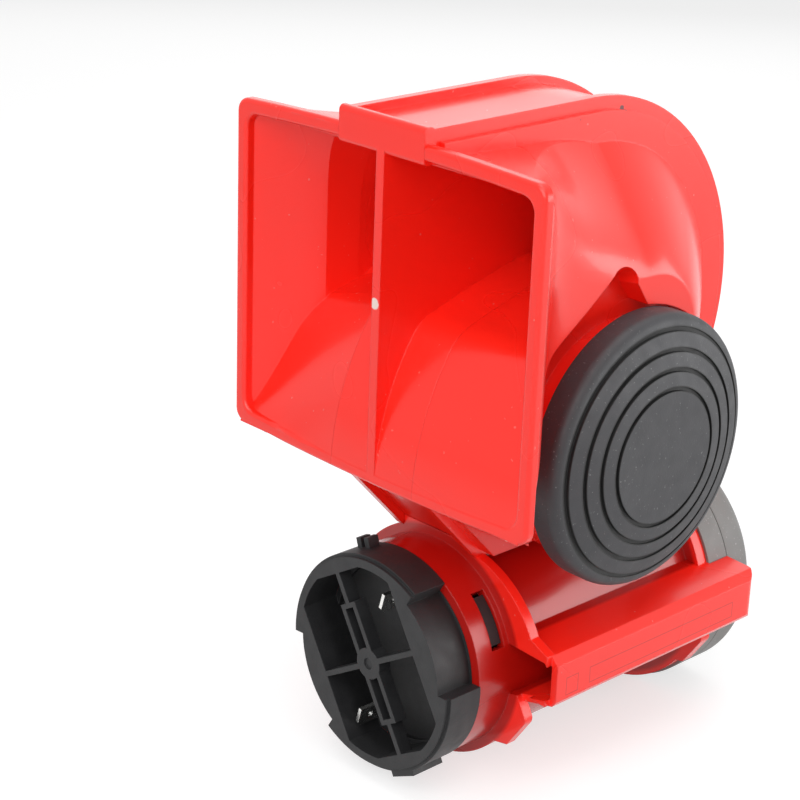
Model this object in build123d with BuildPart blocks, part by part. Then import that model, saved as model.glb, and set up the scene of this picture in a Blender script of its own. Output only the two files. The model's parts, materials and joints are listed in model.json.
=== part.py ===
"""Compact twin-tone compressor horn.

A red two-trumpet scroll sits on a red compressor barrel. The frame's origin is the
middle of the mounting bore at the back of the neck: X to the right as seen from in
front, Y to the back, Z up. Lengths are in millimetres.
"""
from build123d import *
from math import cos, radians, sin, tan
import os

os.makedirs("parts", exist_ok=True)

# ---------------------------------------------------------------- driving dimensions
# mouth and trumpets
mouth_width = 87.8          # over the rim
mouth_height = 71.8         # over the rim, at its corners
mouth_bow = 1.2             # how far the top and bottom edges bow outwards in the middle
rim_width = 3.1             # breadth of the rim's front face
rim_depth = 2.2             # front to back
rim_proud = 2.0             # how far the rim stands in front of the mouth plane
rim_corner_radius = 3.0
rim_round = 0.9
wall = 2.0                  # moulded wall of the red shells
septum_thickness = 2.2
strip_half_width = 12.2     # the middle moulding reaches this far each side
bead_width = 2.0
bead_height = 1.8           # beads stand this far out of the strip
bead_front = 0.2            # the beads start this far behind the mouth plane
lip_top = mouth_height / 2 + 4.5    # top of the thick lip in the middle of the rim
lip_depth = 2.6             # front to back
lip_round = 1.1

# scroll, seen from the side
scroll_centre = (46.6, -7.7)    # behind the mouth plane, above the mouth middle
strip_rise = 2.2            # the strip's top lies this far above the mouth's top edge
strip_radius = mouth_height / 2 + strip_rise - scroll_centre[1]
chin_start = (2.5, -mouth_height / 2 - 0.3)     # the slanted chin under the mouth runs from here
chin_back = 18.8            # to here, where the straight underside starts
flange_step = 1.0           # flange rings lie this far inside the strip
flange_thickness = 1.2
keel_flange_thickness = 4.3   # the flange is thicker and flush with the strip below
keel_flange_top = 6.6 - mouth_height / 2    # below this height, above the mouth middle
seat_step = 5.0             # the base under the tone chamber lies this far inside the flange
base_front = 0.5            # the base starts this far behind the mouth plane

# flared side walls: distance behind the mouth plane, half width, half width at which the
# shoulder meets the roof, foot of the shoulder and roof below the mouth's top edge, and
# the shoulder's slope at the roof
flare_stations = (
    (rim_depth - rim_proud, mouth_width / 2 - rim_width + wall, 39.2, 4.9, 1.0, 0.0),
    (6.7, 38.4, 32.8, 10.4, 1.7, 6.0),
    (13.2, 33.9, 27.0, 17.5, 2.2, 12.0),
    (21.0, 32.1, 20.8, 24.0, 2.4, 24.0),
    (29.0, 31.4, 16.4, 27.6, 2.6, 38.0),
    (36.0, 31.1, 14.4, 28.8, 3.2, 46.0),
    (42.0, 31.0, 13.6, 29.2, 4.3, 50.0),
    (scroll_centre[0], 31.0, 13.4, 29.4, 5.3, 50.0),
)
section_overlap = 4.0       # the sections reach this far into the middle moulding

# tone chambers and their caps
cap_centre = (42.3, -29.3)      # behind the mouth plane, above the mouth middle
cap_radius = 29.6
cap_back = 31.0             # half width at the cap's seat
cap_front = 41.1            # half width at the cap's flat middle
cap_edge = 35.2             # half width where the cap's round shoulder starts
cap_shoulder = 37.7         # half width at the top of the cap's round shoulder
cap_ring_radii = (26.2, 22.15, 18.2, 14.3)
cap_ring_heights = (38.3, 39.5, 40.4)   # half widths of the lands' outer edges there
cap_groove = 0.9            # width of the groove outside each land
cap_groove_depth = 0.8
cap_shoulder_land = 0.2     # flat left between the round shoulder and the outermost groove
cap_wall = 2.2
boss_radius = 26.6
boss_overlap = 2.0          # the cap slips this far over the tone chamber's rim
pocket_floor = 25.6         # half width of the floor round the tone chamber
bulge_reach = 40.0          # the bulge's outline lies about this far from the cap's axis
# the bulge's outline from the bottom of the mouth up and back, in the middle moulding
# and as far out as the mouth's side: it falls off towards the sides, more so on the left,
# whose trumpet is the longer one
bulge_middle = (
    (-rim_proud, -mouth_height / 2 - 0.4), (0.4, -21.5), (7.5, -6.4), (9.8, -3.9), (14.0, -1.9),
    (26.0, 1.7), (37.0, 4.5), (40.0, 5.1), (43.0, 4.7),
)
bulge_right = (
    (-rim_proud, -mouth_height / 2 + 0.3), (0.6, -21.0), (7.5, -6.2), (10.0, -3.0), (13.9, -0.3),
    (24.3, 6.8), (32.6, 16.4), (36.6, 17.2), (40.6, 9.6),
)
bulge_left = (
    (-rim_proud, -mouth_height / 2 + 0.3), (2.9, -29.0), (8.5, -18.8), (11.3, -14.4), (14.5, -10.6),
    (24.0, -7.6), (35.0, -5.2), (38.0, -4.8), (41.5, -5.0),
)
bulge_radius = 32.0         # inner scroll wall round the tone chamber
chamber_radius = 23.0
chamber_floor = 27.0        # half width of the tone chamber's floor
nozzle_radius = 3.6
nozzle_wall = 1.6
throat_gap = 0.5            # the throat duct stands off the middle moulding by this much
throat_angle = 40.0         # the throat duct rises this much towards the back
inlet_radius = 2.0
inlet_reach = 15.0          # air inlet of the tone chamber, from the cap's axis
diaphragm_thickness = 0.4
clamp_ring_width = 2.6
clamp_ring_thickness = 2.2

# mounting lug at the back of the neck
lug_width = 18.0
lug_radius = 9.5
bore_radius = 4.2
lug_gap = 0.7               # a bolt in the bore passes the beads with this to spare
lug_angle = -38.0           # seen from the scroll's centre

# compressor, about its own axis
barrel_radius = 24.0
barrel_wall = 2.2
barrel_gap = 1.5            # between the strip's underside and the barrel
barrel_front = 8.6          # distances from here on are behind the mouth plane
collar_front = 18.2
collar_thickness = 2.4
collar_radius = 26.2
rear_collar_thickness = 3.0
rear_collar_radius = 27.4
collar_web = ((9.0, 24.5), (20.9, 20.2), (28.9, 11.0))    # arc, right of the axis and above it
foot_lobe = ((25.7, -3.0), (28.9, -8.7), (23.8, -16.2), (16.6, -17.6))
foot_round = 2.0
saddle_front = collar_front
saddle_end = 5.5            # the saddle ends this far before the barrel's back
saddle_top = 34.0           # above the barrel axis
can_rib_count = 4
can_rib_width = 3.0
can_rib_front = 3.0         # the ribs start this far behind the can's front

# side box
box_front = 19.6
box_overhang = 6.4          # the box ends this far behind the barrel
box_inner = 16.0
box_outer = 35.6
box_top = (8.7, 6.8)        # above the barrel axis: at its outer edge, at its outer chamfer
box_bottom = (-2.9, -1.7)
box_chamfer = 1.8
box_slope = (0.05, 0.23)    # its top and bottom spread towards the barrel
box_wall = 1.6
box_round = 3.0

# motor end cap
end_cap_front = -0.9
end_cap_radius = 24.3
end_cap_lip_radius = 23.6
end_cap_lip_length = 0.9
end_cap_inner_radius = 21.7
end_cap_turn = 31.0         # the spider leans this far anticlockwise from upright
end_cap_floor = 10.0
end_cap_floor_thickness = 1.4
recess_radius = 21.2
recess_half_angle = 28.0
flat_reach = 15.3           # chordal flats lie this far from the axis
end_cap_wall = 1.8
spider_depth = 3.2
hub_radius = 3.5
hub_mark_radius = 1.3
hub_mark_depth = 0.4
rib_thickness = 1.2
frame_half_width = 2.45
frame_wall = 1.1
frame_reach = 13.6
tab_angle = 108.3
tab_radius = 26.5
tab_width = 3.8
tab_slot = 1.1
tab_front = 4.0
tab_back = 6.9
keel_angle = -64.0
keel_radius = 25.4
keel_width = 7.0
tongue_half_angle = 13.5
tongue_thickness = 1.4
tongue_back = 18.2
barb_height = 1.6
window_angles = (56.5, 236.5)   # clockwise from the top
window_half_angle = 15.5
window_front = 13.2
window_width = 3.6

# terminals
blade_width = 4.8
blade_thickness = 0.8
blade_front = 1.6
blade_back = 15.4
blade_tip = 1.1             # chamfer at the blade's corners
blade_hole_radius = 0.7
blade_hole_back = 3.3       # behind the blade's tip
blade_lean = -15.0
terminal_places = ((0.8, 13.8), (-5.3, -16.2))

# motor
can_radius = 19.0
can_wall = 1.2
can_front = 15.5
can_length = 44.0
hub_length = 3.0
bushing_radius = 3.4
bushing_length = 4.2
bushing_wall = 1.3
shaft_radius = 1.6
shaft_clearance = 0.04
shaft_front = 12.6
armature_radius = 12.8
armature_front = can_front + 13.5
armature_length = can_length - 24.0
pole_count = 5
pole_hub_radius = 4.6
pole_shoe = 1.6
pole_gap = 2.2
tooth_width = 3.4
winding_inner = 5.2
winding_overhang = 3.0
magnet_thickness = 4.2
magnet_half_angle = 55.0
magnet_front = can_front + 4.5
magnet_length = can_length - 10.0
brush_holder_thickness = 3.0
brush_guide = (6.2, 14.6)   # from the axis, inner and outer end
brush_guide_height = 7.0
brush_width = 4.2
brush_inner = 4.3
brush_outer = 12.4
brush_front = can_front + 4.3
brush_length = 4.6
commutator_radius = 4.2
commutator_front = can_front + 3.7
commutator_length = 6.4
commutator_bars = 5
commutator_slot = 0.5

# pump
head_radius = 28.0
head_round = 2.8
spigot_gap = 3.5            # between the can's hub and the pump head's spigot
spigot_front = can_front + can_length + hub_length + spigot_gap
gallery_front = spigot_front + 1.6
gallery_width = 4.8
gallery_radius = 17.4
barrel_back = spigot_front + 14.0
pump_bore_radius = 15.0
pump_bore_front = barrel_back - 2.2
pump_bore_depth = 9.0
cover_thickness = 8.2
pump_rotor_radius = 13.0
pump_offset = 1.6           # rotor axis above the bore's axis
pump_side_gap = 0.3
vane_count = 4
vane_thickness = 1.4
vane_root = 6.3
port_radius = 1.8
port_reach = 13.2           # the ports lie this far from the shaft
shaft_hole_radius = 3.2
screw_count = 4
screw_reach = 21.8
screw_radius = 1.5
screw_head_radius = 2.8
screw_head_height = 2.4
screw_depth = 4.6           # how far a screw reaches into the head

# air duct from pump to scroll
duct_back = gallery_front + gallery_width / 2
duct_radius = 2.2
duct_seal_radius = 3.5
duct_seal_top = 38.0        # above the barrel axis

clearance = 0.15            # general gap between pieces that slip together
snug = 0.05                 # gap of pieces pressed or glued together
press = 0.01                # gap of pieces pressed onto the shaft

# ---------------------------------------------------------------- frames and helpers
lug_reach = strip_radius + bead_height + lug_gap + bore_radius
mouth_y = -scroll_centre[0] - lug_reach * cos(radians(lug_angle))
mouth_z = -scroll_centre[1] - lug_reach * sin(radians(lug_angle))
barrel_drop = strip_radius - scroll_centre[1] + barrel_gap + barrel_radius
axis_z = mouth_z - barrel_drop
head_split = pump_bore_front + pump_bore_depth
head_back = head_split + cover_thickness
box_back = barrel_back + box_overhang
saddle_back = barrel_back - saddle_end
half_mouth = mouth_width / 2
half_height = mouth_height / 2


def side_plane(x):
    """Plane across X; its first axis runs back from the mouth plane, its second up."""
    return Plane(origin=(x, mouth_y, mouth_z), x_dir=(0, 1, 0), z_dir=(1, 0, 0))


def front_plane(back):
    """Plane across Y, that far behind the mouth plane, centred on the mouth middle."""
    return Plane(origin=(0, mouth_y + back, mouth_z), x_dir=(1, 0, 0), z_dir=(0, -1, 0))


def barrel_plane(back):
    """Plane across Y, that far behind the mouth plane, centred on the barrel axis."""
    return Plane(origin=(0, mouth_y + back, axis_z), x_dir=(1, 0, 0), z_dir=(0, -1, 0))


def end_cap_plane(back):
    """Barrel plane turned with the end cap's spider."""
    turn = radians(end_cap_turn)
    return Plane(
        origin=(0, mouth_y + back, axis_z),
        x_dir=(cos(turn), 0, sin(turn)),
        z_dir=(0, -1, 0),
    )


scroll_axis = Axis((0, mouth_y + scroll_centre[0], mouth_z + scroll_centre[1]), (-1, 0, 0))


def polar(radius, angle, centre=(0.0, 0.0)):
    """Point at that radius and angle in degrees round a centre."""
    return (centre[0] + radius * cos(radians(angle)), centre[1] + radius * sin(radians(angle)))


def sector(inner, outer, middle, half_angle):
    """Sector of a ring, placed by the angle of its middle."""
    with BuildSketch() as shape:
        Circle(outer)
        Circle(inner, mode=Mode.SUBTRACT)
        with BuildLine():
            Polyline(
                (0, 0),
                polar(2 * outer, middle - half_angle),
                polar(2 * outer, middle + half_angle),
                close=True,
            )
        make_face(mode=Mode.INTERSECT)
    return shape.sketch


def save(shape, name):
    """Label a finished piece and write its STEP file."""
    shape.label = name
    export_step(shape, f"parts/{name}.step")


def side_outline(grow=0.0, front=0.0):
    """Closed side outline of the scroll, grown by that much and cut off at that front."""
    reach = 20.0
    top = (scroll_centre[0], scroll_centre[1] + strip_radius)
    rear = (scroll_centre[0] + strip_radius, scroll_centre[1])
    bottom = (scroll_centre[0], scroll_centre[1] - strip_radius)
    with BuildSketch() as outline:
        with BuildLine():
            Line((-reach, top[1]), top)
            RadiusArc(top, rear, strip_radius)
            RadiusArc(rear, bottom, strip_radius)
            Line(bottom, (chin_back, bottom[1]))
            Line((chin_back, bottom[1]), chin_start)
            Polyline(chin_start, (-reach, chin_start[1]), (-reach, top[1]))
        make_face()
        if grow:
            offset(amount=grow, kind=Kind.INTERSECTION)
        with Locations((front - 2 * reach, 0)):
            Rectangle(4 * reach, 4 * strip_radius, mode=Mode.SUBTRACT)
    return outline.sketch


def bulge_outline(points, inset=0.0):
    """Side outline of the bulge in the scroll's middle, drawn in by that inset."""
    keep = 1 - inset / bulge_reach
    outline_points = [
        (
            cap_centre[0] + keep * (point[0] - cap_centre[0]),
            cap_centre[1] + keep * (point[1] - cap_centre[1]),
        )
        for point in points
    ]
    foot, waist, knee, bend, shoulder, slope, top, crest, brow = outline_points
    bottom = cap_centre[1] - bulge_radius
    meet = (cap_centre[0] + wall, cap_centre[1] + (bulge_radius - wall) * keep)
    with BuildSketch() as outline:
        with BuildLine():
            ThreePointArc(foot, waist, knee)
            ThreePointArc(knee, bend, shoulder)
            ThreePointArc(shoulder, slope, top)
            ThreePointArc(top, crest, brow)
            Polyline(
                brow,
                (meet[0] + wall, meet[1]),
                (meet[0] + wall, bottom),
                (foot[0], bottom),
                foot,
            )
        make_face()
    return outline.sketch


def bulge_body(side_points, inset=0.0):
    """Bulge of one half, from the middle moulding outwards, drawn in by that inset."""
    with BuildPart() as body:
        with BuildSketch(side_plane(strip_half_width)):
            add(bulge_outline(bulge_middle, inset))
        with BuildSketch(side_plane(mouth_width / 2)):
            add(bulge_outline(side_points, inset))
        loft(ruled=True)
        with BuildSketch(side_plane(strip_half_width)):
            with Locations(cap_centre):
                Circle(bulge_radius - inset)
        extrude(amount=mouth_width / 2 - strip_half_width)
    return body.part


def trumpet_section(station, inset):
    """Edges of one cross-section of the right trumpet, drawn inside a BuildLine."""
    half_width, shoulder_x, foot_drop, roof_drop, lean = station
    inner = strip_half_width - section_overlap
    floor = chin_start[1]
    side = half_width - inset
    foot = (side, half_height - foot_drop - inset / 2)
    crest = (shoulder_x - inset / 2, half_height - roof_drop - inset)
    Line((inner, floor), (side, floor))
    Line((side, floor), foot)
    Bezier(foot, (side, crest[1] - (side - crest[0]) * tan(radians(lean))), crest)
    Line(crest, (inner, crest[1]))
    Line((inner, crest[1]), (inner, floor))


def flare_loft(inset, straight):
    """Loft through the right trumpet's cross-sections, its skin moved in by that inset."""
    with BuildPart() as stretch:
        for back, *station in flare_stations:
            with BuildSketch(front_plane(back)):
                with BuildLine():
                    trumpet_section(station, inset)
                make_face()
        loft(ruled=straight)
    return stretch.part


def trumpet_body(inset, straight=False):
    """Solid right trumpet: flared front and domed rear, its skin moved in by that inset."""
    back, *station = flare_stations[-1]
    with BuildPart() as body:
        add(flare_loft(inset, straight))
        with BuildSketch(front_plane(back)):
            with BuildLine():
                trumpet_section(station, inset)
            make_face()
            with Locations((0, scroll_centre[1] - strip_radius)):
                Rectangle(2 * mouth_width, 2 * strip_radius, mode=Mode.SUBTRACT)
        revolve(axis=scroll_axis, revolution_arc=180)
    return body.part


# ---------------------------------------------------------------- red scroll
# mouth rim: one frame round both trumpets, shared out between the three mouldings
mouth_faces = []
for inset in (0.0, rim_width):
    side = half_mouth - inset
    top = half_height - inset
    with BuildSketch() as mouth_face:
        with BuildLine():
            ThreePointArc((-side, top), (0, top + mouth_bow), (side, top))
            Line((side, top), (side, -top))
            ThreePointArc((side, -top), (0, -top - mouth_bow), (-side, -top))
            Line((-side, -top), (-side, top))
        make_face()
        fillet(mouth_face.vertices(), rim_corner_radius)
    mouth_faces.append(mouth_face.sketch)
with BuildPart() as mouth_rim:
    with BuildSketch(front_plane(-rim_proud)):
        add(mouth_faces[0])
        add(mouth_faces[1], mode=Mode.SUBTRACT)
    extrude(amount=-rim_depth)
    fillet(mouth_rim.edges().group_by(Axis.Y)[0], rim_round)

# side shell: flared trumpet half, flange ring, base and tone chamber
boss_top = cap_back + boss_overlap
throat_x = strip_half_width + nozzle_radius + nozzle_wall + throat_gap
throat_plane = Plane(
    origin=(throat_x, mouth_y + cap_centre[0], mouth_z + cap_centre[1]),
    z_dir=(0, cos(radians(throat_angle)), sin(radians(throat_angle))),
)
shell_width = half_mouth - strip_half_width
with BuildPart() as right_rim:
    add(mouth_rim.part)
    split(bisect_by=Plane.YZ.offset(strip_half_width))


def side_prism(outline, thickness):
    """Side outline as a plate of that thickness on the middle moulding's right side."""
    with BuildPart() as prism:
        with BuildSketch(side_plane(strip_half_width)):
            add(outline)
        extrude(amount=thickness)
    return prism.part


def side_shell(side_points):
    """Right side shell, its bulge shaped by that outline at the mouth's side."""
    bulge_skin = bulge_body(side_points)
    with BuildPart() as hollow:
        add(side_prism(side_outline(-wall, -rim_proud), shell_width))
        add(bulge_skin, mode=Mode.SUBTRACT)
        add(trumpet_body(wall, straight=True), mode=Mode.INTERSECT)
    with BuildPart() as bulge_front:
        add(bulge_skin)
        with BuildSketch(front_plane(-rim_proud)):
            with Locations((strip_half_width + (shell_width - wall) / 2, -half_height / 2)):
                Rectangle(shell_width - wall, half_height)
        extrude(amount=-rim_proud - wall, mode=Mode.INTERSECT)
    base_outline = side_outline(-flange_step - seat_step, base_front)
    with BuildPart() as base:
        add(side_prism(base_outline, pocket_floor - strip_half_width))
        add(bulge_body(side_points, wall / 2), mode=Mode.INTERSECT)
    hollow_outline = side_outline(-flange_step - seat_step - wall, base_front + wall)
    with BuildPart() as base_hollow:
        add(side_prism(hollow_outline, pocket_floor - strip_half_width - wall))
        add(bulge_body(side_points, wall + wall / 2), mode=Mode.INTERSECT)
    with BuildPart() as keel_flange:
        add(side_prism(side_outline(0, rim_depth), keel_flange_thickness))
        split(bisect_by=Plane.XY.offset(mouth_z + keel_flange_top), keep=Keep.BOTTOM)
    with BuildPart() as shell:
        add(side_prism(side_outline(), shell_width))
        add(bulge_body(side_points, wall), mode=Mode.SUBTRACT)
        add(trumpet_body(0), mode=Mode.INTERSECT)
        # flange ring against the middle moulding
        add(side_prism(side_outline(-flange_step, rim_depth), flange_thickness))
        add(keel_flange.part)
        # base round the tone chamber, and the bulge's foot in the mouth
        add(base.part)
        add(bulge_front.part)
        # tone chamber's rim
        with BuildSketch(side_plane(strip_half_width)):
            with Locations(cap_centre):
                Circle(boss_radius)
        extrude(amount=boss_top - strip_half_width)
        add(right_rim.part)
        add(hollow.part, mode=Mode.SUBTRACT)
        # hollow base behind the chamber's floor
        add(base_hollow.part, mode=Mode.SUBTRACT)
        # tone chamber
        with BuildSketch(side_plane(boss_top)):
            with Locations(cap_centre):
                Circle(chamber_radius)
        extrude(amount=chamber_floor - boss_top, mode=Mode.SUBTRACT)
        # nozzle under the diaphragm, its throat duct and their bore
        with BuildSketch(side_plane(strip_half_width)):
            with Locations(cap_centre):
                Circle(nozzle_radius + nozzle_wall)
        extrude(amount=boss_top - strip_half_width)
        with BuildSketch(throat_plane):
            Circle(nozzle_radius + nozzle_wall)
        extrude(amount=bulge_radius - wall / 2)
        with BuildSketch(side_plane(strip_half_width + nozzle_wall)):
            with Locations(cap_centre):
                Circle(nozzle_radius)
        extrude(amount=boss_top, mode=Mode.SUBTRACT)
        with BuildSketch(throat_plane):
            Circle(nozzle_radius)
        extrude(amount=bulge_radius + wall / 2, mode=Mode.SUBTRACT)
        # air inlet through the chamber's floor
        with BuildSketch(side_plane(strip_half_width)):
            with Locations(polar(inlet_reach, throat_angle + 180, cap_centre)):
                Circle(inlet_radius)
        extrude(amount=boss_top, mode=Mode.SUBTRACT)
    return shell.part


side_shell_right = side_shell(bulge_right)
side_shell_left = mirror(side_shell(bulge_left), about=Plane.YZ)

# middle moulding: strip, beads, bulge wall, septum, lip, mounting lug and air port
lug_centre = (-mouth_y, -mouth_z)
strip_section = side_outline() - side_outline(-wall)
with BuildSketch() as bulge_section:
    add(bulge_outline(bulge_middle))
    with Locations(cap_centre):
        Circle(bulge_radius)
    add(side_outline(-wall / 2, -rim_proud), mode=Mode.INTERSECT)
with BuildSketch() as bulge_inside:
    add(bulge_outline(bulge_middle, wall))
    with Locations(cap_centre):
        Circle(bulge_radius - wall)
with BuildPart() as middle_rim:
    add(mouth_rim.part)
    split(bisect_by=Plane.YZ.offset(strip_half_width), keep=Keep.BOTTOM)
    split(bisect_by=Plane.YZ.offset(-strip_half_width), keep=Keep.TOP)
with BuildPart() as scroll_center:
    with BuildSketch(side_plane(-strip_half_width)):
        add(strip_section)
        add(bulge_section.sketch - bulge_inside.sketch)
    extrude(amount=2 * strip_half_width)
    add(middle_rim.part)
    # thick lip over the rim
    with BuildSketch(side_plane(-strip_half_width)) as lip_section:
        with Locations((lip_depth / 2 - rim_proud, (half_height - rim_width + lip_top) / 2)):
            Rectangle(lip_depth, lip_top - half_height + rim_width)
        fillet(lip_section.vertices().group_by(Axis.Z)[-1], lip_round)
    extrude(amount=2 * strip_half_width)
    # septum between the two trumpets
    with BuildSketch(side_plane(-septum_thickness / 2)):
        add(side_outline(-wall / 2, -rim_proud))
        add(bulge_inside.sketch, mode=Mode.SUBTRACT)
    extrude(amount=septum_thickness)
    # lug at the back of the neck
    with BuildSketch(side_plane(-lug_width / 2)):
        with Locations(lug_centre):
            Circle(lug_radius)
            with Locations((-lug_radius / 2, lug_radius / 2)):
                Rectangle(lug_radius, lug_radius)
        add(side_outline(-wall / 2), mode=Mode.SUBTRACT)
    extrude(amount=lug_width)
    with BuildSketch(side_plane(-lug_width / 2)):
        with Locations(lug_centre):
            Circle(bore_radius)
    extrude(amount=lug_width, mode=Mode.SUBTRACT)
    # two beads along the strip's edges
    for edge in (-strip_half_width, strip_half_width - bead_width):
        with BuildSketch(side_plane(edge)):
            add(side_outline(bead_height, bead_front))
            add(side_outline(-wall / 2), mode=Mode.SUBTRACT)
        extrude(amount=bead_width)
    # port for the air duct
    with BuildSketch(Plane.XY.offset(axis_z)):
        with Locations((0, mouth_y + duct_back)):
            Circle(duct_seal_radius + snug)
    extrude(amount=duct_seal_top + snug, mode=Mode.SUBTRACT)

# ---------------------------------------------------------------- diaphragms and caps
cap_axis = Axis((0, mouth_y + cap_centre[0], mouth_z + cap_centre[1]), (1, 0, 0))
cap_plane = Plane(
    origin=(0, mouth_y + cap_centre[0], mouth_z + cap_centre[1]),
    x_dir=(0, 1, 0),
    z_dir=(0, 0, -1),
)
diaphragm_top = boss_top + diaphragm_thickness
clamp_top = diaphragm_top + clamp_ring_thickness
shoulder_radius = cap_ring_radii[0] + cap_groove + cap_shoulder_land
ring_steps = []
inner_steps = []
last_radius = shoulder_radius
last_height = cap_shoulder
for ring_radius, height in zip(cap_ring_radii, cap_ring_heights + (cap_front,)):
    land_edge = ring_radius + cap_groove
    land_slope = (height - last_height) / (last_radius - ring_radius)
    ring_steps += [
        (land_edge, last_height + land_slope * (last_radius - land_edge)),
        (land_edge, height - cap_groove_depth),
        (ring_radius, height - cap_groove_depth),
        (ring_radius, height),
    ]
    inner_steps += [
        (ring_radius - cap_wall, last_height - cap_wall),
        (ring_radius - cap_wall, height - cap_wall),
    ]
    last_radius = ring_radius
    last_height = height
inner_steps[0] = (inner_steps[0][0], clamp_top)
with BuildPart() as diaphragm_cap:
    with BuildSketch(cap_plane):
        with BuildLine():
            Line((boss_radius + clearance, cap_back), (cap_radius, cap_back))
            Line((cap_radius, cap_back), (cap_radius, cap_edge))
            TangentArc((cap_radius, cap_edge), (shoulder_radius, cap_shoulder), tangent=(0, 1))
            Polyline(
                (shoulder_radius, cap_shoulder),
                *ring_steps,
                (0, cap_front),
                (0, cap_front - cap_wall),
                *reversed(inner_steps),
                (boss_radius + clearance, clamp_top),
                (boss_radius + clearance, cap_back),
            )
        make_face()
    revolve(axis=cap_axis)
with BuildPart() as diaphragm:
    with BuildSketch(side_plane(boss_top)):
        with Locations(cap_centre):
            Circle(boss_radius)
    extrude(amount=diaphragm_thickness)
with BuildPart() as clamp_ring:
    with BuildSketch(side_plane(diaphragm_top)):
        with Locations(cap_centre):
            Circle(boss_radius)
            Circle(boss_radius - clamp_ring_width, mode=Mode.SUBTRACT)
    extrude(amount=clamp_ring_thickness)

# ---------------------------------------------------------------- compressor body
barrel_inner = barrel_radius - barrel_wall
spigot_radius = barrel_inner - clearance
box_edge = box_outer - box_chamfer
saddle_half_width = strip_half_width - bead_width - clearance
with BuildSketch() as box_section:
    with BuildLine():
        Polyline(
            (box_inner, box_top[0] + (box_edge - box_inner) * box_slope[0]),
            (box_edge, box_top[0]),
            (box_outer, box_top[1]),
            (box_outer, box_bottom[1]),
            (box_outer - box_chamfer / 2, box_bottom[0]),
            (box_inner, box_bottom[0] - (box_outer - box_inner) * box_slope[1]),
            close=True,
        )
    make_face()
with BuildSketch() as foot_lobes:
    with BuildLine():
        Polyline((0, 0), *foot_lobe, close=True)
    make_face()
    fillet(foot_lobes.vertices().group_by(SortBy.DISTANCE)[-1], foot_round)
    mirror(about=Plane.YZ)
with BuildPart() as side_box:
    with BuildSketch(barrel_plane(box_front)):
        add(box_section.sketch)
    extrude(amount=box_front - box_back)
    fillet(side_box.edges().group_by(Axis.Y)[-1].sort_by(Axis.X)[-1], box_round)
with BuildPart() as compressor_body:
    # barrel
    with BuildSketch(barrel_plane(barrel_front)):
        Circle(barrel_radius)
    extrude(amount=barrel_front - barrel_back)
    # front collar with its web up to the chin and out to the side box
    with BuildSketch(barrel_plane(collar_front)):
        Circle(collar_radius)
        with BuildLine():
            ThreePointArc(*collar_web)
            Polyline(
                collar_web[-1],
                (box_edge, box_top[0]),
                (box_edge, box_bottom[0]),
                (0, 0),
                (0, collar_web[0][1]),
                collar_web[0],
            )
        make_face()
        add(foot_lobes.sketch)
    extrude(amount=-collar_thickness)
    # rear collar
    with BuildSketch(barrel_plane(barrel_back - rear_collar_thickness)):
        Circle(rear_collar_radius)
        add(foot_lobes.sketch)
    extrude(amount=-rear_collar_thickness)
    # saddle between the beads, shaped to the scroll's strip
    with BuildSketch(side_plane(-saddle_half_width)):
        with Locations(((saddle_front + saddle_back) / 2, saddle_top / 2 - barrel_drop)):
            Rectangle(saddle_back - saddle_front, saddle_top)
    extrude(amount=2 * saddle_half_width)
    with BuildSketch(side_plane(-saddle_half_width)):
        add(side_outline(snug))
    extrude(amount=2 * saddle_half_width, mode=Mode.SUBTRACT)
    # side box, open at the front
    add(side_box.part)
    with BuildSketch(barrel_plane(collar_front)):
        add(box_section.sketch)
        offset(amount=-box_wall)
        Circle(barrel_radius, mode=Mode.SUBTRACT)
    extrude(amount=collar_front - box_back + box_wall, mode=Mode.SUBTRACT)
    with BuildSketch(barrel_plane(barrel_back)):
        Circle(head_radius + clearance)
    extrude(amount=barrel_back - box_back, mode=Mode.SUBTRACT)
    # bore with ribs that hold the motor can
    with BuildSketch(barrel_plane(barrel_front)):
        Circle(barrel_inner)
    extrude(amount=barrel_front - barrel_back, mode=Mode.SUBTRACT)
    with BuildSketch(barrel_plane(can_front + can_rib_front)):
        with PolarLocations((can_radius + barrel_inner) / 2, can_rib_count, start_angle=45):
            Rectangle(barrel_inner - can_radius + wall, can_rib_width)
        Circle(can_radius + snug, mode=Mode.SUBTRACT)
    extrude(amount=can_rib_front - can_length)
    # windows for the end cap's tongues
    with BuildSketch(barrel_plane(window_front)):
        for angle in window_angles:
            add(sector(barrel_inner - wall, barrel_radius + wall, 90 - angle, window_half_angle))
    extrude(amount=-window_width, mode=Mode.SUBTRACT)
    # port for the air duct
    with BuildSketch(Plane.XY.offset(axis_z)):
        with Locations((0, mouth_y + duct_back)):
            Circle(duct_seal_radius + snug)
    extrude(amount=saddle_top + wall, mode=Mode.SUBTRACT)

# rubber duct from the pump head up into the scroll's neck
with BuildPart() as duct_seal:
    with BuildSketch(Plane.XY.offset(axis_z + barrel_inner)):
        with Locations((0, mouth_y + duct_back)):
            Circle(duct_seal_radius)
            Circle(duct_radius, mode=Mode.SUBTRACT)
    extrude(amount=duct_seal_top - barrel_inner)

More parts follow.
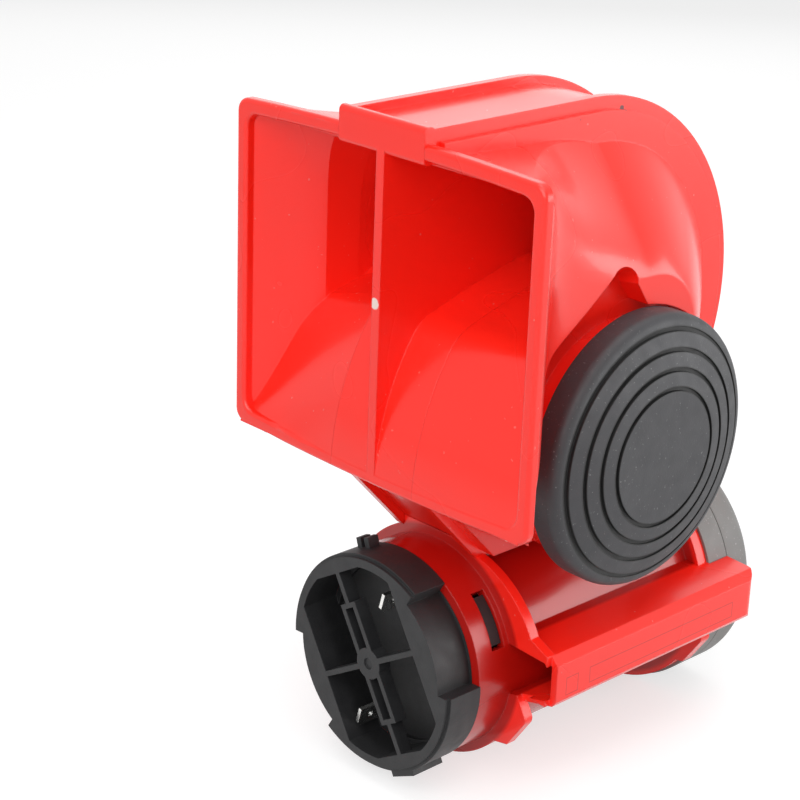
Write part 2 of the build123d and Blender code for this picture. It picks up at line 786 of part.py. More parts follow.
# ---------------------------------------------------------------- motor end cap
tongue_inner = spigot_radius - tongue_thickness
tab_inner = end_cap_inner_radius + wall / 2
with BuildPart() as motor_end_cap:
    # ring with a narrower front lip
    with BuildSketch(end_cap_plane(end_cap_front)):
        Circle(end_cap_lip_radius)
    extrude(amount=-end_cap_lip_length)
    with BuildSketch(end_cap_plane(end_cap_front + end_cap_lip_length)):
        Circle(end_cap_radius)
    extrude(amount=end_cap_front + end_cap_lip_length - barrel_front)
    # recessed sectors beside the flats
    with BuildSketch(end_cap_plane(end_cap_front)):
        for middle in (0, 180):
            add(sector(recess_radius, end_cap_radius + wall, middle, recess_half_angle))
    extrude(amount=end_cap_front - barrel_front, mode=Mode.SUBTRACT)
    # spigot inside the barrel
    with BuildSketch(end_cap_plane(end_cap_front)):
        Circle(recess_radius)
    extrude(amount=end_cap_front - barrel_front)
    with BuildSketch(end_cap_plane(barrel_front)):
        Circle(spigot_radius)
    extrude(amount=barrel_front - end_cap_floor - end_cap_floor_thickness)
    # cup, closed by the floor, between two chordal flats
    with BuildSketch(end_cap_plane(end_cap_front)):
        Circle(recess_radius - end_cap_wall)
        for middle in (90, 270):
            add(sector(hub_radius, end_cap_inner_radius, middle, 90 - recess_half_angle))
        Rectangle(2 * flat_reach, 3 * end_cap_radius, mode=Mode.INTERSECT)
    extrude(amount=end_cap_front - barrel_front, mode=Mode.SUBTRACT)
    with BuildSketch(end_cap_plane(barrel_front)):
        Circle(tongue_inner)
        Rectangle(2 * flat_reach, 3 * end_cap_radius, mode=Mode.INTERSECT)
    extrude(amount=barrel_front - end_cap_floor, mode=Mode.SUBTRACT)
    # spider: hub, two closed frames, thin ribs
    with BuildSketch(end_cap_plane(end_cap_front)) as spider:
        Rectangle(2 * frame_half_width, 2 * frame_reach)
        Rectangle(2 * (frame_half_width - frame_wall), 2 * (frame_reach - frame_wall), mode=Mode.SUBTRACT)
        Circle(hub_radius)
        Rectangle(2 * flat_reach + wall, rib_thickness)
        for side in (-1, 1):
            with Locations((0, side * (frame_reach + end_cap_inner_radius) / 2)):
                Rectangle(rib_thickness, end_cap_inner_radius - frame_reach + wall)
    extrude(amount=-spider_depth)
    # latch tab at the top and keel at the bottom
    with BuildSketch(barrel_plane(tab_front)):
        with Locations(Location((0, 0), tab_angle)):
            with Locations(((tab_radius + tab_inner) / 2, 0)):
                Rectangle(tab_radius - tab_inner, tab_width)
        with Locations(Location((0, 0), tab_angle)):
            with Locations((tab_radius, 0)):
                Rectangle(2 * (tab_radius - end_cap_radius), tab_slot, mode=Mode.SUBTRACT)
    extrude(amount=tab_front - tab_back)
    with BuildSketch(barrel_plane(end_cap_front + end_cap_lip_length)):
        with Locations(Location((0, 0), keel_angle)):
            with Locations(((keel_radius + tab_inner) / 2, 0)):
                Rectangle(keel_radius - tab_inner, keel_width)
    extrude(amount=end_cap_front + end_cap_lip_length - barrel_front)
    # snap tongues with barbs in the barrel's windows
    with BuildSketch(barrel_plane(end_cap_floor)):
        for angle in window_angles:
            add(sector(tongue_inner, spigot_radius, 90 - angle, tongue_half_angle))
    extrude(amount=end_cap_floor - tongue_back)
    with BuildSketch(barrel_plane(window_front + clearance)):
        for angle in window_angles:
            add(sector(tongue_inner, spigot_radius + barb_height, 90 - angle, tongue_half_angle))
    extrude(amount=2 * clearance - window_width)
    # mark on the hub and slots for the terminals
    with BuildSketch(end_cap_plane(end_cap_front)):
        Circle(hub_mark_radius)
    extrude(amount=-hub_mark_depth, mode=Mode.SUBTRACT)
    with BuildSketch(barrel_plane(end_cap_floor)):
        for place in terminal_places:
            with Locations(Location(place, blade_lean)):
                Rectangle(blade_thickness + 2 * snug, blade_width + 2 * snug)
    extrude(amount=-end_cap_floor_thickness, mode=Mode.SUBTRACT)

# blade terminals with chamfered tips, standing in the end cap's floor
terminals = []
blade_turn = radians(90 + blade_lean)
blade_shift = (blade_thickness / 2 * sin(blade_turn), blade_thickness / 2 * cos(blade_turn))
for place in terminal_places:
    blade_plane = Plane(
        origin=(place[0] - blade_shift[0], mouth_y, axis_z + place[1] + blade_shift[1]),
        x_dir=(0, 1, 0),
        z_dir=(sin(blade_turn), 0, -cos(blade_turn)),
    )
    with BuildPart() as terminal:
        with BuildSketch(blade_plane) as blade:
            with Locations(((blade_front + blade_back) / 2, 0)):
                Rectangle(blade_back - blade_front, blade_width)
            chamfer(blade.vertices().group_by(Axis.Y)[0], blade_tip)
            with Locations((blade_front + blade_hole_back, 0)):
                Circle(blade_hole_radius, mode=Mode.SUBTRACT)
        extrude(amount=blade_thickness)
    terminals.append(terminal.part)

# ---------------------------------------------------------------- motor
can_back = can_front + can_length
can_inner = can_radius - can_wall
bushing_back = can_back + hub_length
with BuildPart() as motor_can:
    with BuildSketch(barrel_plane(can_front)):
        Circle(can_radius)
    extrude(amount=-can_length)
    with BuildSketch(barrel_plane(can_front)):
        Circle(can_inner)
    extrude(amount=can_wall - can_length, mode=Mode.SUBTRACT)
    with BuildSketch(barrel_plane(can_back)):
        Circle(bushing_radius + bushing_wall)
    extrude(amount=-hub_length)
    with BuildSketch(barrel_plane(can_front)):
        Circle(bushing_radius + snug)
    extrude(amount=can_front - bushing_back, mode=Mode.SUBTRACT)
magnets = []
magnet_inner = can_inner - snug - magnet_thickness
for middle in (90, 270):
    with BuildPart() as magnet:
        with BuildSketch(barrel_plane(magnet_front)):
            add(sector(magnet_inner, can_inner - snug, middle, magnet_half_angle))
        extrude(amount=-magnet_length)
    magnets.append(magnet.part)

# brush holder, its guides open towards the commutator
holder_back = can_front + brush_holder_thickness
bushing_front = holder_back - bushing_length
with BuildPart() as brush_holder:
    with BuildSketch(barrel_plane(can_front)):
        Circle(can_inner - snug)
    extrude(amount=-brush_holder_thickness)
    with BuildSketch(barrel_plane(bushing_front)):
        Circle(bushing_radius + bushing_wall)
    extrude(amount=bushing_front - can_front)
    with BuildSketch(barrel_plane(holder_back)):
        for side in (-1, 1):
            with Locations((side * sum(brush_guide) / 2, 0)):
                Rectangle(brush_guide[1] - brush_guide[0], brush_guide_height)
    extrude(amount=holder_back - brush_front - brush_length - (brush_guide_height - brush_width) / 2)
    with BuildSketch(barrel_plane(brush_front - snug)):
        Rectangle(2 * brush_guide[1], brush_width + 2 * snug)
    extrude(amount=-brush_length - 2 * snug, mode=Mode.SUBTRACT)
    with BuildSketch(barrel_plane(bushing_front)):
        Circle(bushing_radius + snug)
    extrude(amount=-bushing_length, mode=Mode.SUBTRACT)
with BuildPart() as carbon_brushes:
    with BuildSketch(barrel_plane(brush_front)):
        for side in (-1, 1):
            with Locations((side * (brush_inner + brush_outer) / 2, 0)):
                Rectangle(brush_outer - brush_inner, brush_width)
    extrude(amount=-brush_length)
bushings = []
for back in (bushing_front, bushing_back - bushing_length):
    with BuildPart() as bushing:
        with BuildSketch(barrel_plane(back)):
            Circle(bushing_radius)
            Circle(shaft_radius + shaft_clearance, mode=Mode.SUBTRACT)
        extrude(amount=-bushing_length)
    bushings.append(bushing.part)

# turning parts
rotor_front = pump_bore_front + pump_side_gap
rotor_back = head_split - pump_side_gap
with BuildPart() as motor_shaft:
    with BuildSketch(barrel_plane(shaft_front)):
        Circle(shaft_radius)
    extrude(amount=shaft_front - rotor_back)
with BuildPart() as armature_core:
    with BuildSketch(barrel_plane(armature_front)):
        Circle(armature_radius)
        Circle(armature_radius - pole_shoe, mode=Mode.SUBTRACT)
        with PolarLocations(armature_radius, pole_count, start_angle=180 / pole_count):
            Rectangle(3 * pole_shoe, pole_gap, mode=Mode.SUBTRACT)
        with PolarLocations((armature_radius - pole_shoe / 2) / 2, pole_count):
            Rectangle(armature_radius - pole_shoe / 2, tooth_width)
        Circle(pole_hub_radius)
        Circle(shaft_radius + press, mode=Mode.SUBTRACT)
    extrude(amount=-armature_length)
armature_back = armature_front + armature_length
with BuildPart() as armature_winding:
    for front, length in (
        (armature_front - winding_overhang, winding_overhang - snug),
        (armature_back + snug, winding_overhang - snug),
    ):
        with BuildSketch(barrel_plane(front)):
            Circle(armature_radius - pole_shoe - clearance)
            Circle(winding_inner, mode=Mode.SUBTRACT)
        extrude(amount=-length)
    with BuildSketch(barrel_plane(armature_front - winding_overhang / 2)):
        Circle(armature_radius - pole_shoe - clearance)
        Circle(winding_inner, mode=Mode.SUBTRACT)
        with PolarLocations(armature_radius / 2, pole_count):
            Rectangle(armature_radius, tooth_width + 2 * clearance, mode=Mode.SUBTRACT)
    extrude(amount=-armature_length - winding_overhang)
with BuildPart() as commutator:
    with BuildSketch(barrel_plane(commutator_front)):
        Circle(commutator_radius)
        with PolarLocations(commutator_radius, commutator_bars):
            Rectangle(commutator_slot * 2, commutator_slot, mode=Mode.SUBTRACT)
        Circle(shaft_radius + press, mode=Mode.SUBTRACT)
    extrude(amount=-commutator_length)

# ---------------------------------------------------------------- pump
vane_angles = [45 + index * 360 / vane_count for index in range(vane_count)]
with BuildPart() as pump_rotor:
    with BuildSketch(barrel_plane(rotor_front)):
        Circle(pump_rotor_radius)
        Circle(shaft_radius + press, mode=Mode.SUBTRACT)
        for angle in vane_angles:
            with Locations(Location((0, 0), angle)):
                with Locations((vane_root + pump_rotor_radius / 2, 0)):
                    Rectangle(pump_rotor_radius, vane_thickness + 2 * snug, mode=Mode.SUBTRACT)
    extrude(amount=rotor_front - rotor_back)
with BuildPart() as pump_vanes:
    with BuildSketch(barrel_plane(rotor_front)):
        for angle in vane_angles:
            with Locations(Location((0, 0), angle)):
                with Locations(((vane_root + pump_rotor_radius) / 2, 0)):
                    Rectangle(pump_rotor_radius - vane_root - snug, vane_thickness)
    extrude(amount=rotor_front - rotor_back)
with BuildPart() as pump_head:
    with BuildSketch(barrel_plane(barrel_back)):
        Circle(head_radius)
    extrude(amount=barrel_back - head_split)
    with BuildSketch(barrel_plane(spigot_front)):
        Circle(spigot_radius)
    extrude(amount=spigot_front - barrel_back)
    # air gallery round the spigot
    with BuildSketch(barrel_plane(gallery_front)):
        Circle(barrel_radius)
        Circle(gallery_radius, mode=Mode.SUBTRACT)
    extrude(amount=-gallery_width, mode=Mode.SUBTRACT)
    # pump bore, below the rotor's axis
    with BuildSketch(barrel_plane(pump_bore_front)):
        with Locations((0, -pump_offset)):
            Circle(pump_bore_radius)
    extrude(amount=pump_bore_front - head_split, mode=Mode.SUBTRACT)
    # shaft hole, air inlet from the motor side, discharge to the gallery
    with BuildSketch(barrel_plane(spigot_front)):
        Circle(shaft_hole_radius)
        with Locations((-port_reach, 0)):
            Circle(port_radius)
    extrude(amount=spigot_front - pump_bore_front, mode=Mode.SUBTRACT)
    with BuildSketch(barrel_plane(pump_bore_front)):
        with Locations((port_reach, 0)):
            Circle(port_radius)
    extrude(amount=pump_bore_front - gallery_front - gallery_width / 2, mode=Mode.SUBTRACT)
    with BuildSketch(Plane.YZ.offset(port_reach)):
        with Locations((mouth_y + gallery_front + gallery_width / 2, axis_z)):
            Circle(port_radius)
    extrude(amount=gallery_radius - port_reach + wall, mode=Mode.SUBTRACT)
    # screw holes
    with BuildSketch(barrel_plane(head_split)):
        with PolarLocations(screw_reach, screw_count, start_angle=45):
            Circle(screw_radius + snug)
    extrude(amount=screw_depth + snug, mode=Mode.SUBTRACT)
with BuildPart() as pump_cover:
    with BuildSketch(barrel_plane(head_split)):
        Circle(head_radius)
    extrude(amount=head_split - head_back)
    fillet(pump_cover.edges().group_by(Axis.Y)[-1], head_round)
    with BuildSketch(barrel_plane(head_back)):
        with PolarLocations(screw_reach, screw_count, start_angle=45):
            Circle(screw_head_radius + clearance)
    extrude(amount=screw_head_height + clearance, mode=Mode.SUBTRACT)
    with BuildSketch(barrel_plane(head_back)):
        with PolarLocations(screw_reach, screw_count, start_angle=45):
            Circle(screw_radius + snug)
    extrude(amount=head_back - head_split, mode=Mode.SUBTRACT)
screw_seat = head_back - screw_head_height - clearance
with BuildPart() as pump_screws:
    with BuildSketch(barrel_plane(screw_seat)):
        with PolarLocations(screw_reach, screw_count, start_angle=45):
            Circle(screw_head_radius)
    extrude(amount=-screw_head_height)
    with BuildSketch(barrel_plane(screw_seat)):
        with PolarLocations(screw_reach, screw_count, start_angle=45):
            Circle(screw_radius)
    extrude(amount=screw_seat - head_split + screw_depth)

# ---------------------------------------------------------------- named pieces
pieces = {
    "scroll_center": scroll_center.part,
    "side_shell_right": side_shell_right,
    "side_shell_left": side_shell_left,
    "diaphragm_cap_right": diaphragm_cap.part,
    "diaphragm_cap_left": mirror(diaphragm_cap.part, about=Plane.YZ),
    "diaphragm_right": diaphragm.part,
    "diaphragm_left": mirror(diaphragm.part, about=Plane.YZ),
    "clamp_ring_right": clamp_ring.part,
    "clamp_ring_left": mirror(clamp_ring.part, about=Plane.YZ),
    "compressor_body": compressor_body.part,
    "duct_seal": duct_seal.part,
    "motor_end_cap": motor_end_cap.part,
    "terminal_positive": terminals[0],
    "terminal_negative": terminals[1],
    "motor_can": motor_can.part,
    "magnet_upper": magnets[0],
    "magnet_lower": magnets[1],
    "brush_holder": brush_holder.part,
    "carbon_brushes": carbon_brushes.part,
    "front_bushing": bushings[0],
    "rear_bushing": bushings[1],
    "motor_shaft": motor_shaft.part,
    "armature_core": armature_core.part,
    "armature_winding": armature_winding.part,
    "commutator": commutator.part,
    "pump_rotor": pump_rotor.part,
    "pump_vanes": pump_vanes.part,
    "pump_head": pump_head.part,
    "pump_cover": pump_cover.part,
    "pump_screws": pump_screws.part,
}
for name, shape in pieces.items():
    save(shape, name)
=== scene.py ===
"""Looks for the compact twin-tone compressor horn.

Every visible piece is a CAD node. This script gives each node its material, draws in those materials
the small moulded lines as painted shade, handling marks and chips' painted highlights, and sets the
studio and the camera.
"""
import json
import math

import bpy
from mathutils import Matrix, Vector


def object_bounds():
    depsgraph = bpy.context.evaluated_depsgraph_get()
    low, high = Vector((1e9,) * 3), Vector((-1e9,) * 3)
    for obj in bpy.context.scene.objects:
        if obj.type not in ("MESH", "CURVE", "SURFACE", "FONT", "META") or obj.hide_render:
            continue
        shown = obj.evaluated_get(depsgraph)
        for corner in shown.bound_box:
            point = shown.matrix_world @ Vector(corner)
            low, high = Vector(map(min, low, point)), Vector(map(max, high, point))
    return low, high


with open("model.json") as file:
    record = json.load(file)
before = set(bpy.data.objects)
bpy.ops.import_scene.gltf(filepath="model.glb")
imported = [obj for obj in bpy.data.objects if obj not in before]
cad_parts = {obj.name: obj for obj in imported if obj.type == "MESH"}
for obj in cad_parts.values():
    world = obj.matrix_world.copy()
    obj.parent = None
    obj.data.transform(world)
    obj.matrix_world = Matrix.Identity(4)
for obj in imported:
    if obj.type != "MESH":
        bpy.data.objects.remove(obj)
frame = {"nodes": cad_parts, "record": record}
nodes = frame["nodes"]
cad_low, cad_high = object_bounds()
scene = bpy.context.scene
MM = 0.001

# mouth plane's middle, and a point on the barrel's axis below it, in the frame of the mounting bore
MOUTH = Vector((0.0, -0.08797, 0.04002))
AXIS = Vector((0.0, -0.08797, -0.03898))
# caps: their axis, the radii of their lands, and the width of the band painted dark outside each as the
# shade in its groove
CAP = MOUTH + Vector((0.0, 42.3, -29.3)) * MM
CAP_RINGS = (26.2, 22.15, 18.2, 14.3)
CAP_SHADE_BAND = 1.0
# barrel's radius, the end cap's inner radius, and where its cells' floors, painted near-black as shade,
# start behind its face
BARREL_RADIUS = 25.8 * MM
CELL_RADIUS = 21.0 * MM
CELL_START = 2.5 * MM
# the grey head and its cover meet this far behind the mouth plane
HEAD_SEAM = 86.5
# which directions count when a distance is taken: across the barrel, along it, and round a cap
ACROSS_BARREL = (1.0, 0.0, 1.0)
ALONG_BARREL = (0.0, 1.0, 0.0)
ROUND_CAP = (0.0, 1.0, 1.0)
SIDEWAYS = (1.0, 0.0, 0.0)
UPRIGHT = (0.0, 0.0, 1.0)
# faint recessed lines on the side box, painted darker as their shade: middle from the mouth's middle,
# half length, half height
BOX_SHADED_LINES = (
    ((35.4, 54.0, -77.5), 24.0, 1.8),
    ((35.4, 24.5, -77.8), 1.8, 2.0),
)
# handling marks and chips' painted highlights in the red: place from the mouth's middle and radius in
# millimetres, colour
MARKS = (
    ((-0.3, -2.0, 2.1), 1.3, (0.85, 0.66, 0.60)),
    ((12.6, 54.8, 36.4), 0.9, (0.12, 0.01, 0.01)),
    ((13.0, 40.8, 36.2), 0.5, (0.25, 0.01, 0.01)),
    # two chips at the rim's bottom corner, painted lighter as their highlight
    ((39.0, -2.0, -36.3), 0.6, (0.9, 0.35, 0.3)),
    ((41.8, -1.6, -36.4), 0.6, (0.9, 0.45, 0.4)),
)


# ---------------------------------------------------------------- node helpers
class Nodes:
    """Short-hand for one material's node tree."""

    def __init__(self, name):
        self.material = bpy.data.materials.new(name)
        self.material.use_nodes = True
        self.tree = self.material.node_tree
        self.shader = self.tree.nodes["Principled BSDF"]
        self.place = self.make("ShaderNodeTexCoord").outputs["Object"]

    def make(self, kind, **settings):
        node = self.tree.nodes.new(kind)
        for key, value in settings.items():
            if key in node.inputs:
                node.inputs[key].default_value = value
            else:
                setattr(node, key, value)
        return node

    def link(self, out, into):
        self.tree.links.new(out, into)

    def noise(self, scale, detail=3.0, rough=0.5, stretch=None):
        """Noise of about that many blotches a metre."""
        node = self.make("ShaderNodeTexNoise", Scale=scale, Detail=detail, Roughness=rough)
        source = self.place
        if stretch:
            turn = self.make("ShaderNodeMapping")
            turn.inputs["Scale"].default_value = stretch
            self.link(source, turn.inputs["Vector"])
            source = turn.outputs["Vector"]
        self.link(source, node.inputs["Vector"])
        return node.outputs["Fac"]

    def span(self, value, low, high, to_low=0.0, to_high=1.0):
        """Value moved from one range to another, held at its ends."""
        node = self.make("ShaderNodeMapRange")
        self.link(value, node.inputs["Value"])
        ends = {"From Min": low, "From Max": high, "To Min": to_low, "To Max": to_high}
        for key, number in ends.items():
            node.inputs[key].default_value = number
        return node.outputs["Result"]

    def math(self, operation, first, second=None):
        node = self.make("ShaderNodeMath", operation=operation)
        for socket, value in zip(node.inputs, (first, second)):
            if value is None:
                continue
            if isinstance(value, (int, float)):
                socket.default_value = value
            else:
                self.link(value, socket)
        return node.outputs[0]

    def tint(self, amount, under, over):
        """Colour between two: each is a colour or another node's output."""
        node = self.make("ShaderNodeMix", data_type="RGBA")
        self.link(amount, node.inputs["Factor"])
        for name, value in (("A", under), ("B", over)):
            socket = next(s for s in node.inputs if s.name == name and s.type == "RGBA")
            if isinstance(value, tuple):
                socket.default_value = (*value, 1.0)
            else:
                self.link(value, socket)
        return next(s for s in node.outputs if s.type == "RGBA")

    def far(self, centre, counts=(1.0, 1.0, 1.0)):
        """Distance from a point, or from an axis where one direction counts for nothing."""
        place = self.place
        for operation, value in (("SUBTRACT", centre), ("MULTIPLY", counts)):
            node = self.make("ShaderNodeVectorMath", operation=operation)
            self.link(place, node.inputs[0])
            node.inputs[1].default_value = value
            place = node.outputs["Vector"]
        node = self.make("ShaderNodeVectorMath", operation="LENGTH")
        self.link(place, node.inputs[0])
        return node.outputs["Value"]

    def spot(self, centre, radius, ragged=0.5):
        """1 inside an uneven spot, 0 outside."""
        edge = self.math("MULTIPLY", self.noise(1.5 / radius, 2.0), ragged * radius)
        reach = self.math("ADD", self.far(centre), edge)
        return self.span(reach, radius, 1.25 * radius, 1.0, 0.0)

    def ring(self, distance, radius, half_width):
        """1 within that half width of a radius, 0 outside."""
        off = self.math("ABSOLUTE", self.math("SUBTRACT", distance, radius))
        return self.span(off, half_width, 1.5 * half_width, 1.0, 0.0)

    def outline(self, centre, half_length, half_height, half_width):
        """1 on the outline of a rectangle on a face that looks to the side, 0 elsewhere."""
        along = self.math("SUBTRACT", self.far(centre, ALONG_BARREL), half_length)
        upright = self.math("SUBTRACT", self.far(centre, UPRIGHT), half_height)
        edge = self.math("ABSOLUTE", self.math("MAXIMUM", along, upright))
        near = self.span(self.far(centre, SIDEWAYS), 1 * MM, 2 * MM, 1.0, 0.0)
        return self.math("MULTIPLY", near, self.span(edge, half_width, 2 * half_width, 1.0, 0.0))

    def bump(self, height, depth, strength=1.0, under=None):
        node = self.make("ShaderNodeBump", Distance=depth, Strength=strength)
        self.link(height, node.inputs["Height"])
        if under is not None:
            self.link(under, node.inputs["Normal"])
        return node.outputs["Normal"]

    def soft_edges(self, radius):
        node = self.make("ShaderNodeBevel", samples=4)
        node.inputs["Radius"].default_value = radius
        return node.outputs["Normal"]


def red_plastic():
    """Glossy red moulding: blurred reflections, faint flow, dust specks, a few handling marks, painted
    highlights on chips at the rim's corner, and painted shade on the barrel and in the side box's faint
    lines.
    """
    n = Nodes("red_plastic_moulded")
    colour = n.tint(n.noise(28.0, 1.0), (0.94, 0.018, 0.009), (0.98, 0.022, 0.011))
    specks = n.span(n.noise(900.0, 1.0, 0.4), 0.765, 0.80)
    colour = n.tint(specks, colour, (0.9, 0.11, 0.09))
    # the barrel is painted a deeper red as shade: it sits under the horn and faces away from the lights
    from_axis = n.far(AXIS, ACROSS_BARREL)
    barrel = n.span(from_axis, BARREL_RADIUS, BARREL_RADIUS + 1 * MM, 1.0, 0.0)
    colour = n.tint(barrel, colour, (0.46, 0.007, 0.004))
    # the side box's faint recessed lines are painted darker as their shade
    for place, half_length, half_height in BOX_SHADED_LINES:
        line = n.outline(MOUTH + Vector(place) * MM, half_length * MM, half_height * MM, 0.08 * MM)
        colour = n.tint(n.math("MULTIPLY", line, 0.45), colour, (0.35, 0.006, 0.003))
    for place, radius, mark in MARKS:
        colour = n.tint(n.spot(MOUTH + Vector(place) * MM, radius * MM), colour, mark)
    n.link(colour, n.shader.inputs["Base Color"])
    n.link(n.span(n.noise(30.0, 1.0), 0.0, 1.0, 0.22, 0.32), n.shader.inputs["Roughness"])
    n.shader.inputs["IOR"].default_value = 1.45
    n.shader.inputs["Coat Weight"].default_value = 0.2
    n.shader.inputs["Coat Roughness"].default_value = 0.10
    peel = n.bump(n.noise(420.0, 1.0), 0.000012, 0.4, n.soft_edges(0.0004))
    n.link(peel, n.shader.inputs["Normal"])
    return n.material


def black_plastic():
    """Spark-grained matt black: caps with painted shade in their ring grooves, the end cap painted
    darker as shade, and its cells' floors painted near-black as shade.
    """
    n = Nodes("black_plastic_grained")
    blotch = n.span(n.noise(45.0, 4.0), 0.3, 0.7)
    colour = n.tint(blotch, (0.029, 0.029, 0.032), (0.037, 0.037, 0.041))
    colour = n.tint(n.span(n.noise(1500.0, 2.0, 0.6), 0.66, 0.74), colour, (0.12, 0.12, 0.12))
    from_axis = n.far(AXIS, ACROSS_BARREL)
    # the end cap faces the front, where little light falls: it is painted darker as shade
    end = n.span(from_axis, BARREL_RADIUS, BARREL_RADIUS + 3 * MM, 1.0, 0.0)
    colour = n.tint(end, colour, (0.011, 0.011, 0.012))
    # the floors of the end cap's cells are painted near-black as the shade in those hollows
    behind = n.span(n.far(AXIS, ALONG_BARREL), CELL_START, CELL_START + 2 * MM)
    within = n.span(from_axis, CELL_RADIUS, CELL_RADIUS + 1.5 * MM, 1.0, 0.0)
    colour = n.tint(n.math("MULTIPLY", behind, within), colour, (0.003, 0.003, 0.0035))
    reach = n.far(CAP, ROUND_CAP)
    # a near-black band just outside each land is painted shade in its groove
    for radius in CAP_RINGS:
        groove_shade = n.ring(reach, (radius + CAP_SHADE_BAND / 2) * MM, CAP_SHADE_BAND / 2 * MM)
        colour = n.tint(groove_shade, colour, (0.006, 0.006, 0.006))
    n.link(colour, n.shader.inputs["Base Color"])
    n.link(n.span(n.noise(300.0, 3.0), 0.3, 0.7, 0.50, 0.62), n.shader.inputs["Roughness"])
    n.link(n.bump(n.noise(2400.0, 2.0), 0.00006, 0.5, n.soft_edges(0.00025)), n.shader.inputs["Normal"])
    return n.material


def grained_plastic(name, dark, light, speck, rough, grain=2400.0, fleck=0.66, seam=None):
    """Spark-grained matt moulding with light flecks; seam is a parting line's place along the barrel."""
    n = Nodes(name)
    blotch = n.span(n.noise(45.0, 4.0), 0.3, 0.7)
    colour = n.tint(blotch, dark, light)
    colour = n.tint(n.span(n.noise(1500.0, 2.0, 0.6), fleck, fleck + 0.08), colour, speck)
    if seam:
        line = n.ring(n.far(AXIS, ALONG_BARREL), seam * MM, 0.12 * MM)
        colour = n.tint(line, colour, (0.05, 0.045, 0.04))
    n.link(colour, n.shader.inputs["Base Color"])
    uneven = n.span(n.noise(300.0, 3.0), 0.3, 0.7, rough - 0.05, rough + 0.07)
    n.link(uneven, n.shader.inputs["Roughness"])
    n.link(n.bump(n.noise(grain, 2.0), 0.00006, 0.5, n.soft_edges(0.00025)), n.shader.inputs["Normal"])
    return n.material


def metal(name, low, high, rough, stretch=(1.0, 1.0, 1.0), metallic=1.0):
    """Drawn or turned metal with fine lines along one axis."""
    n = Nodes(name)
    lines = n.noise(1800.0, 3.0, 0.6, stretch)
    n.link(n.tint(n.span(lines, 0.3, 0.7), low, high), n.shader.inputs["Base Color"])
    uneven = n.span(n.noise(200.0, 3.0), 0.3, 0.7, rough - 0.06, rough + 0.08)
    n.link(uneven, n.shader.inputs["Roughness"])
    n.shader.inputs["Metallic"].default_value = metallic
    n.link(n.bump(lines, 0.00001, 0.4, n.soft_edges(0.00015)), n.shader.inputs["Normal"])
    return n.material


LENGTHWISE = (1.0, 0.1, 1.0)
materials = {
    "red_plastic": red_plastic(),
    "black_plastic": black_plastic(),
    "grey_plastic": grained_plastic(
        "grey_plastic_grained", (0.19, 0.19, 0.185), (0.25, 0.25, 0.24), (0.34, 0.34, 0.33), 0.6,
        1800.0, 0.64, HEAD_SEAM,
    ),
    "tinned_blade": metal(
        "tinned_blade_bright", (0.72, 0.72, 0.70), (0.86, 0.86, 0.84), 0.24, LENGTHWISE
    ),
    "steel": metal("steel_drawn", (0.46, 0.46, 0.47), (0.6, 0.6, 0.6), 0.34, LENGTHWISE),
    "magnet": grained_plastic(
        "ferrite_sintered", (0.03, 0.03, 0.033), (0.05, 0.05, 0.052), (0.11, 0.11, 0.11), 0.6
    ),
    "copper": metal("copper_enamelled", (0.55, 0.17, 0.07), (0.75, 0.3, 0.14), 0.3, (1.0, 0.08, 1.0)),
    "bronze": metal("bronze_sintered", (0.42, 0.26, 0.1), (0.58, 0.38, 0.16), 0.48),
    "carbon": grained_plastic(
        "carbon_pressed", (0.02, 0.02, 0.02), (0.032, 0.032, 0.033), (0.09, 0.09, 0.09), 0.45
    ),
    "rotor_alloy": metal("alloy_turned", (0.55, 0.55, 0.57), (0.7, 0.7, 0.72), 0.32),
    "seal": grained_plastic(
        "rubber_matt", (0.012, 0.012, 0.012), (0.02, 0.02, 0.02), (0.05, 0.05, 0.05), 0.78
    ),
}
slots = {row["node"]: row["material_slot"] for row in frame["record"]["subparts"]}
for name, node in nodes.items():
    node.data.materials.clear()
    node.data.materials.append(materials[slots[name]])


# ---------------------------------------------------------------- studio
FLOOR_REACH = 4.0
FLOOR_GAP = 0.2 * MM
FLOOR_GLOW = 0.62           # the floor's own light where it is seen or mirrored
WORLD_FILL = 0.3            # the world's light on the object; it is 1 where it is seen or mirrored
floor_mesh = bpy.data.meshes.new("studio_floor")
corners = [(x * FLOOR_REACH, y * FLOOR_REACH, 0) for x, y in ((-1, -1), (1, -1), (1, 1), (-1, 1))]
floor_mesh.from_pydata(corners, [], [(0, 1, 2, 3)])
floor = bpy.data.objects.new("studio_floor", floor_mesh)
floor.location.z = cad_low[2] - FLOOR_GAP
scene.collection.objects.link(floor)


def where_seen(tree):
    """1 for camera, glossy and transmission rays, 0 for the rays that light the object."""
    path = tree.nodes.new("ShaderNodeLightPath")
    total = path.outputs["Is Camera Ray"]
    for name in ("Is Glossy Ray", "Is Transmission Ray"):
        most = tree.nodes.new("ShaderNodeMath")
        most.operation = "MAXIMUM"
        tree.links.new(total, most.inputs[0])
        tree.links.new(path.outputs[name], most.inputs[1])
        total = most.outputs[0]
    return total


ground = Nodes("studio_floor_pale")
ground.shader.inputs["Base Color"].default_value = (0.50, 0.50, 0.50, 1.0)
ground.shader.inputs["Roughness"].default_value = 0.9
ground.shader.inputs["Specular IOR Level"].default_value = 0.0
ground.shader.inputs["Emission Color"].default_value = (1.0, 1.0, 1.0, 1.0)
glow = ground.math("MULTIPLY", where_seen(ground.tree), FLOOR_GLOW)
ground.link(glow, ground.shader.inputs["Emission Strength"])
floor_mesh.materials.append(ground.material)

world = bpy.data.worlds.new("studio_world")
scene.world = world
world.use_nodes = True
background = world.node_tree.nodes["Background"]
level = world.node_tree.nodes.new("ShaderNodeMapRange")
level.inputs["To Min"].default_value = WORLD_FILL
level.inputs["To Max"].default_value = 1.0
world.node_tree.links.new(where_seen(world.node_tree), level.inputs["Value"])
world.node_tree.links.new(level.outputs["Result"], background.inputs["Strength"])
background.inputs["Color"].default_value = (1.0, 1.0, 1.0, 1.0)

middle = (Vector(cad_low) + Vector(cad_high)) / 2


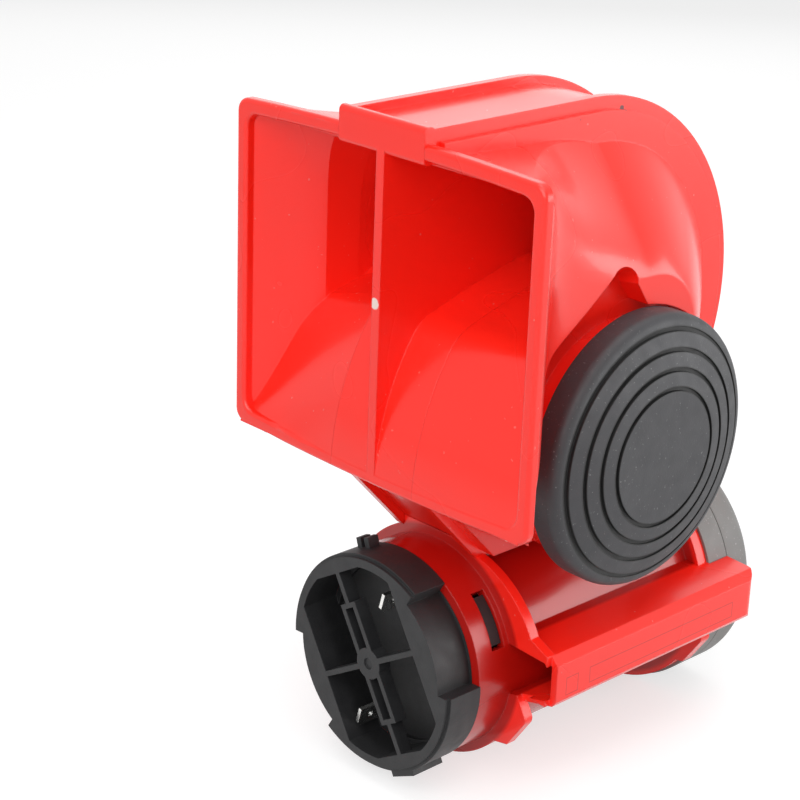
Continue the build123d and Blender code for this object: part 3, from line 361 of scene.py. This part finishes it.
def softbox(name, direction, distance, width, height, strength):
    """Area light aimed at the object's middle; its strength is the radiance of its face."""
    lamp = bpy.data.lights.new(name, "AREA")
    lamp.shape = "RECTANGLE"
    lamp.size = width
    lamp.size_y = height
    lamp.energy = strength * math.pi * width * height
    holder = bpy.data.objects.new(name, lamp)
    holder.location = middle + Vector(direction).normalized() * distance
    holder.rotation_euler = (middle - holder.location).to_track_quat("-Z", "Y").to_euler()
    holder.visible_camera = False
    scene.collection.objects.link(holder)


softbox("softbox_top", (0.1, 0.0, 1.0), 0.8, 0.8, 0.8, 1.7)
softbox("softbox_key", (0.4, -0.9, 0.6), 0.85, 0.8, 0.7, 3.0)
softbox("softbox_right", (0.75, 0.6, 0.04), 0.75, 0.8, 0.5, 3.5)
softbox("softbox_left", (-0.67, 0.65, 0.36), 0.8, 0.7, 0.5, 0.6)

# ---------------------------------------------------------------- camera
IMAGE_WIDTH = 800.0         # of the picture, in pixels
FOCAL_LENGTH = 2139.67      # in the same pixels
AZIMUTH, ELEVATION, ROLL = (math.radians(angle) for angle in (45.882, 21.049, 2.075))
# the eye lies this far back, right and down from the mouth's middle, in the picture's own directions
EYE_BACK, EYE_RIGHT, EYE_DOWN = (428.716, 3.493, 17.589)
camera = bpy.data.cameras.new("camera")
camera.sensor_width = 36.0
camera.lens = FOCAL_LENGTH * camera.sensor_width / IMAGE_WIDTH
camera.clip_start = 0.01
viewer = bpy.data.objects.new("camera", camera)
scene.collection.objects.link(viewer)
flat = math.cos(ELEVATION)
back = Vector((math.sin(AZIMUTH) * flat, -math.cos(AZIMUTH) * flat, math.sin(ELEVATION)))
level_right = Vector((0, 0, 1)).cross(back).normalized()
level_up = back.cross(level_right)
right = math.cos(ROLL) * level_right + math.sin(ROLL) * level_up
up = -math.sin(ROLL) * level_right + math.cos(ROLL) * level_up
eye = MOUTH + (back * EYE_BACK + right * EYE_RIGHT - up * EYE_DOWN) * MM
turned = Matrix((right, up, back)).transposed().to_4x4()
viewer.matrix_world = Matrix.Translation(eye) @ turned
scene.camera = viewer
scene.view_settings.view_transform = "Standard"
